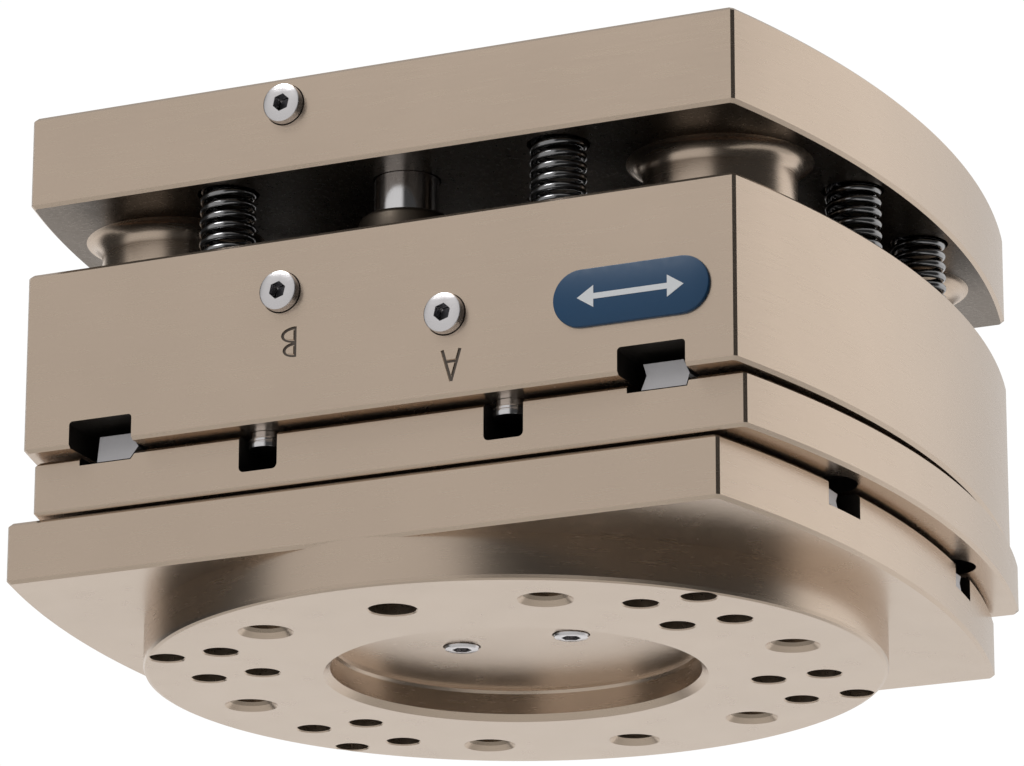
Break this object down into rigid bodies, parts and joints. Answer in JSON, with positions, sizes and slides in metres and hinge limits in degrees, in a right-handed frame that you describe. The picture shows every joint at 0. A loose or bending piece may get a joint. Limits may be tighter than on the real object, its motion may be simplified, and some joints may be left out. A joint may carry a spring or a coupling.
{
  "type": "pneumatic compliance unit",
  "caption": "Stacked-plate compensation unit: round robot flange, plates that float in X and Y, a sprung top plate and a pneumatic lock.",
  "frame": {"origin": "centre of the bounding box on the plane of the robot flange's face", "axes": "+Z from the robot flange to the tool side; +X along the lower float, +Y along the upper float, with the ported front face towards -Y"},
  "size_m": [0.2364, 0.2084, 0.138],
  "materials": {
    "anodised": "satin hard-anodised",
    "steel": "ground",
    "dark_steel": "blackened",
    "spring": "black oiled",
    "rubber": "matt",
    "bronze": "machined",
    "lining": "matt friction lining",
    "badge": "gloss label"
  },
  "bodies": {
    "flange": {"flange_plate": "anodised", "brake_plate": "dark_steel", "recess_screw_L": "steel", "recess_screw_R": "steel", "x_way_F": "steel", "x_way_B": "steel"},
    "x_cages": {"x_cage_F": "bronze", "x_cage_B": "bronze"},
    "cross": {"cross_plate": "anodised", "x_rail_F": "dark_steel", "x_rail_B": "dark_steel", "y_rail_L": "steel", "y_rail_R": "steel"},
    "y_cages": {"y_cage_L": "bronze", "y_cage_R": "bronze"},
    "housing": {"housing": "anodised", "cylinder_cover": "anodised", "retaining_ring": "dark_steel", "rod_seal": "rubber", "guide_bush_FL": "bronze", "guide_bush_FR": "bronze", "guide_bush_BL": "bronze", "guide_bush_BR": "bronze", "stop_pin_FL": "steel", "stop_pin_FR": "steel", "stop_pin_BL": "steel", "stop_pin_BR": "steel", "rod_collar_F": "anodised", "rod_collar_B": "anodised", "port_plug_A": "steel", "port_plug_B": "steel", "name_badge": "badge", "spring_1": "spring", "spring_2": "spring", "spring_3": "spring", "spring_4": "spring", "spring_5": "spring", "spring_6": "spring", "spring_7": "spring", "spring_8": "spring"},
    "piston": {"lock_piston": "steel", "piston_seal": "rubber", "brake_pad": "lining"},
    "top": {"top_plate": "anodised", "guide_rod_F": "steel", "guide_rod_B": "steel", "top_plug": "steel"}
  },
  "joints": [
    {"name": "x_slide", "type": "slide", "parent": "flange", "child": "cross", "axis": [1, 0, 0], "range_m": [-0.0175, 0.0025]},
    {"name": "x_cage_slide", "type": "slide", "parent": "flange", "child": "x_cages", "axis": [1, 0, 0], "range_m": [-0.00875, 0.00125]},
    {"name": "y_slide", "type": "slide", "parent": "cross", "child": "housing", "axis": [0, 1, 0], "range_m": [-0.004, 0.016]},
    {"name": "y_cage_slide", "type": "slide", "parent": "cross", "child": "y_cages", "axis": [0, 1, 0], "range_m": [-0.002, 0.008]},
    {"name": "lock_slide", "type": "slide", "parent": "housing", "child": "piston", "axis": [0, 0, -1], "range_m": [0, 0.0015]},
    {"name": "z_slide", "type": "slide", "parent": "housing", "child": "top", "axis": [0, 0, -1], "range_m": [0, 0.01], "stiffness_N_per_m": 48000, "springref_m": -0.004, "deforming": ["spring_1", "spring_2", "spring_3", "spring_4", "spring_5", "spring_6", "spring_7", "spring_8"]}
  ],
  "couplings": [
    {"joint": "x_cage_slide", "follows": "x_slide", "ratio": 0.5},
    {"joint": "y_cage_slide", "follows": "y_slide", "ratio": 0.5}
  ]
}
